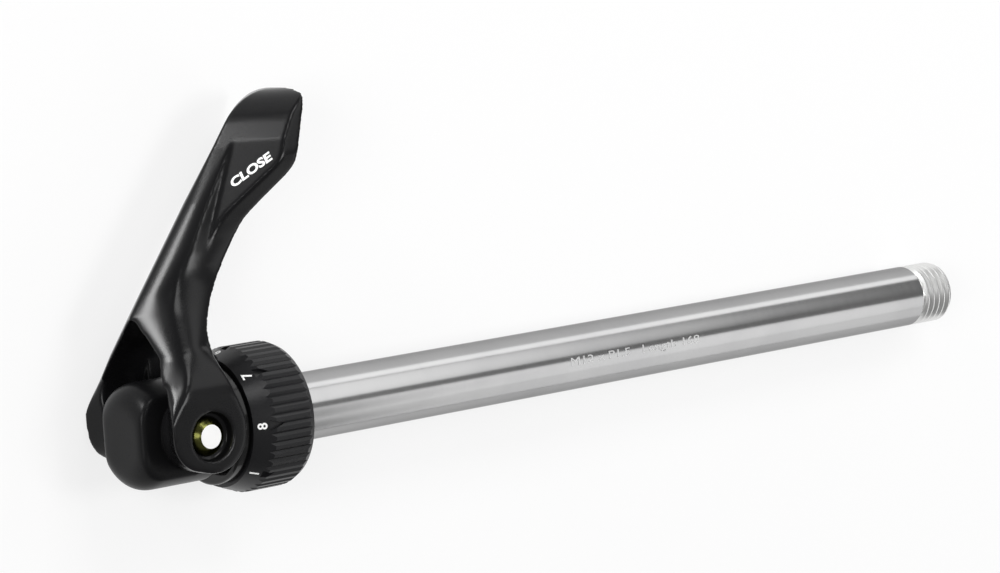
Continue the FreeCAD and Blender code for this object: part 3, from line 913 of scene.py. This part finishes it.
@dataclass
class Head:
    """Domed head between the ears. Sizes in millimetres, X from the pin."""

    voxel: float = 0.25
    first_smoothing: int = 3
    dome_smoothing: int = 36
    shell_r: float = 5.8
    dome_x: float = -7.5
    soft_x: float = 1.0
    pin_clear_r: float = 4.6

    def dome_weight(self, place: Vector, normal: Vector) -> float:
        """Says where the dome is softened, and leaves its socket and the pin's hole alone.

        Args:
            place: Vertex's place in metres.
            normal: Vertex's normal, not used.

        Returns:
            The weight, from 0 to 1.
        """
        x = place.x / MM - PIN_X
        outside = math.hypot(place.y, place.z) / MM > self.shell_r or x < self.dome_x
        clear_of_pin = math.hypot(x, place.y / MM) > self.pin_clear_r
        return 1.0 if outside and clear_of_pin and x < self.soft_x else 0.0

    def build(self) -> None:
        """Softens the dome into one pillow and dresses it."""
        piece = recast("axle_head", "head_dome", self.voxel, self.first_smoothing)
        soften(piece, self.dome_smoothing, weigh(piece, "dome", self.dome_weight))
        shade_soft(piece)
        settle(piece, Body.AXLE, "matt_black_alloy", HEAD_BLACK, "axle_head")


@dataclass
class Dial:
    """Ribbed adjuster dial with its numbers. Sizes in millimetres."""

    number_x: float = -10.7
    number_r: float = 11.9
    number_height: float = 1.65
    number_bold: float = 0.05
    cone_rise: float = 0.3795
    count: int = 8

    def make_number(self, number: int) -> bpy.types.Object:
        """Makes one number at its setting on the cone.

        Args:
            number: Number to print.

        Returns:
            The number as a mesh.
        """
        angle = 2 * math.pi * (self.count - number) / self.count
        radial = Vector((0, math.sin(angle), math.cos(angle)))
        around = Vector((0, math.cos(angle), -math.sin(angle)))
        middle = Vector((self.number_x * MM, 0, 0)) + radial * self.number_r * MM
        place = facing(middle, around, radial - Vector((self.cone_rise, 0, 0)))
        return write_words(f"number_{number}", str(number), place, self.number_height,
                           bold_mm=self.number_bold)

    def print_numbers(self) -> None:
        """Prints all numbers as one piece."""
        pieces = [self.make_number(number) for number in range(1, self.count + 1)]
        deselect()
        for piece in pieces:
            piece.select_set(True)
        bpy.context.view_layer.objects.active = pieces[0]
        bpy.ops.object.join()
        pieces[0].name = "dial_numbers"
        settle(pieces[0], Body.DIAL, "black_dial", WHITE_PRINT)

    def build(self) -> None:
        """Dresses the dial and prints its numbers."""
        DIAL_BLACK.dress(frame["nodes"]["adjuster_dial"])
        self.print_numbers()


@dataclass
class Inside:
    """Pad, springs and ring."""

    steel: tuple[str, ...] = ("retaining_ring", "return_spring", "detent_spring")

    def build(self) -> None:
        """Dresses the pieces between lever and dial."""
        PAD_BLACK.dress(frame["nodes"]["cam_pad"])
        for node in self.steel:
            SPRING_STEEL.dress(frame["nodes"][node])


@dataclass(frozen=True)
class Lamp:
    """A soft rectangular lamp.

    Args:
        name: Name of the lamp.
        place: Where its middle stands, in metres.
        aim: Point that it faces, in metres.
        size: Width and height in metres.
        glow: Radiance of its face, where 1 shows as white.
    """

    name: str
    place: Triple
    aim: Triple
    size: Pair
    glow: float

    def build(self) -> None:
        """Places the lamp and turns it to its aim."""
        light = bpy.data.lights.new(self.name, "AREA")
        light.shape = "RECTANGLE"
        light.size, light.size_y = self.size
        light.energy = self.glow * math.pi * self.size[0] * self.size[1]
        lamp = bpy.data.objects.new(self.name, light)
        bpy.context.scene.collection.objects.link(lamp)
        lamp.location = self.place
        way = Vector(self.aim) - Vector(self.place)
        lamp.rotation_euler = way.to_track_quat("-Z", "Y").to_euler()


LAMPS = (
    Lamp("key", (0.3, 0.12, 1.15), (0.0, 0.0, 0.0), (0.34, 0.34), 11.0),
    Lamp("fill", (-0.95, 0.15, 0.7), (0.0, 0.0, 0.0), (0.45, 0.45), 7.0),
    Lamp("lower_box", (0.97, -0.366, 0.822), (0.97, 0.0, 0.0), (0.58, 0.69), 1.32),
    Lamp("lowest_box", (0.97, -0.822, 0.366), (0.97, 0.0, 0.0), (0.58, 0.68), 1.08),
    Lamp("upper_strip", (1.0, 1.0, 0.22), (1.0, 0.0, 0.14), (1.2, 0.38), 1.7),
    Lamp("upper_box_near", (0.65, 0.64, 0.77), (0.65, 0.0, 0.0), (0.3, 0.93), 1.55),
    Lamp("upper_box_mid", (0.85, 0.64, 0.77), (0.85, 0.0, 0.0), (0.1, 0.93), 1.3),
    Lamp("upper_box_far", (0.95, 0.64, 0.77), (0.95, 0.0, 0.0), (0.1, 0.93), 0.92),
    Lamp("upper_box_end", (1.04, 0.64, 0.77), (1.04, 0.0, 0.0), (0.08, 0.93), 0.5),
    Lamp("back_box", (0.06, 0.72, 0.7), (-0.01, 0.0, 0.01), (0.45, 0.34), 5.5),
    Lamp("low_panel", (-0.71, 0.761, 0.045), (-0.01, 0.03, 0.02), (0.21, 0.17), 40.0),
)


@dataclass
class Studio:
    """White floor, soft lamps and the camera. Lengths in metres, camera back and lens in millimetres."""

    eye: Triple = (-0.35989, 0.089241, 0.497438)
    right: Triple = (0.7623, -0.068143, 0.643627)
    up: Triple = (0.125144, 0.991194, -0.043276)
    lens: float = 127.8
    sensor_width: float = 36.0
    clip: Pair = (0.01, 20.0)
    floor_z: float = -0.0128
    floor_tilt_deg: float = -2.28
    floor_size: float = 6.0
    floor_tone: float = 0.92
    floor_roughness: float = 0.9
    floor_glow: float = 1.0
    floor_glow_share: float = 0.75
    sky: float = 0.25
    lamps: tuple[Lamp, ...] = LAMPS

    def floor_material(self) -> bpy.types.Material:
        """Makes a white floor that still takes a soft shadow.

        Returns:
            The floor's material.
        """
        made = bpy.data.materials.new("white_floor")
        made.use_nodes = True
        tree = made.node_tree
        nodes, links = tree.nodes, tree.links
        shader = nodes["Principled BSDF"]
        tone = self.floor_tone
        shader.inputs["Base Color"].default_value = (tone, tone, tone, 1.0)
        shader.inputs["Roughness"].default_value = self.floor_roughness
        glow = nodes.new("ShaderNodeEmission")
        glow.inputs["Strength"].default_value = self.floor_glow
        path = nodes.new("ShaderNodeLightPath")
        rays = path.outputs
        mirrored = combine(tree, "MAXIMUM", rays["Is Glossy Ray"], rays["Is Transmission Ray"])
        seen = combine(tree, "MAXIMUM", rays["Is Camera Ray"], mirrored)
        mixer = nodes.new("ShaderNodeMixShader")
        links.new(combine(tree, "MULTIPLY", seen, self.floor_glow_share), mixer.inputs["Fac"])
        links.new(shader.outputs["BSDF"], mixer.inputs[1])
        links.new(glow.outputs["Emission"], mixer.inputs[2])
        links.new(mixer.outputs["Shader"], nodes["Material Output"].inputs["Surface"])
        return made

    def build_floor(self) -> None:
        """Lays the floor under the lower ear, the dial and the tip, on which the axle rests."""
        deselect()
        bpy.ops.mesh.primitive_plane_add(size=self.floor_size, location=(0, 0, self.floor_z),
                                         rotation=(0, math.radians(self.floor_tilt_deg), 0))
        floor = bpy.context.object
        floor.name = "floor"
        floor.data.materials.append(self.floor_material())

    def build_world(self) -> None:
        """Lights the scene evenly from all round."""
        world = bpy.data.worlds.new("studio")
        bpy.context.scene.world = world
        world.use_nodes = True
        back = world.node_tree.nodes["Background"]
        back.inputs["Color"].default_value = (1, 1, 1, 1)
        back.inputs["Strength"].default_value = self.sky

    def build_camera(self) -> None:
        """Sets the camera at the photograph's viewing angle."""
        data = bpy.data.cameras.new("camera")
        data.sensor_fit = "HORIZONTAL"
        data.sensor_width = self.sensor_width
        data.lens = self.lens
        data.clip_start, data.clip_end = self.clip
        camera = bpy.data.objects.new("camera", data)
        bpy.context.scene.collection.objects.link(camera)
        right = Vector(self.right).normalized()
        back = right.cross(Vector(self.up)).normalized()
        up = back.cross(right)
        turn = Matrix((right, up, back)).transposed().to_4x4()
        camera.matrix_world = Matrix.Translation(Vector(self.eye)) @ turn
        bpy.context.scene.camera = camera

    def build(self) -> None:
        """Builds the studio."""
        bpy.context.scene.view_settings.view_transform = "Standard"
        self.build_floor()
        self.build_world()
        for lamp in self.lamps:
            lamp.build()
        self.build_camera()


def main() -> None:
    """Builds the object and the studio in order."""
    for part in (Shank(), Head(), Lever(), Dial(), Inside(), Studio()):
        part.build()
        LOG.info("%s is built", type(part).__name__)


if __name__ == "__main__":
    main()
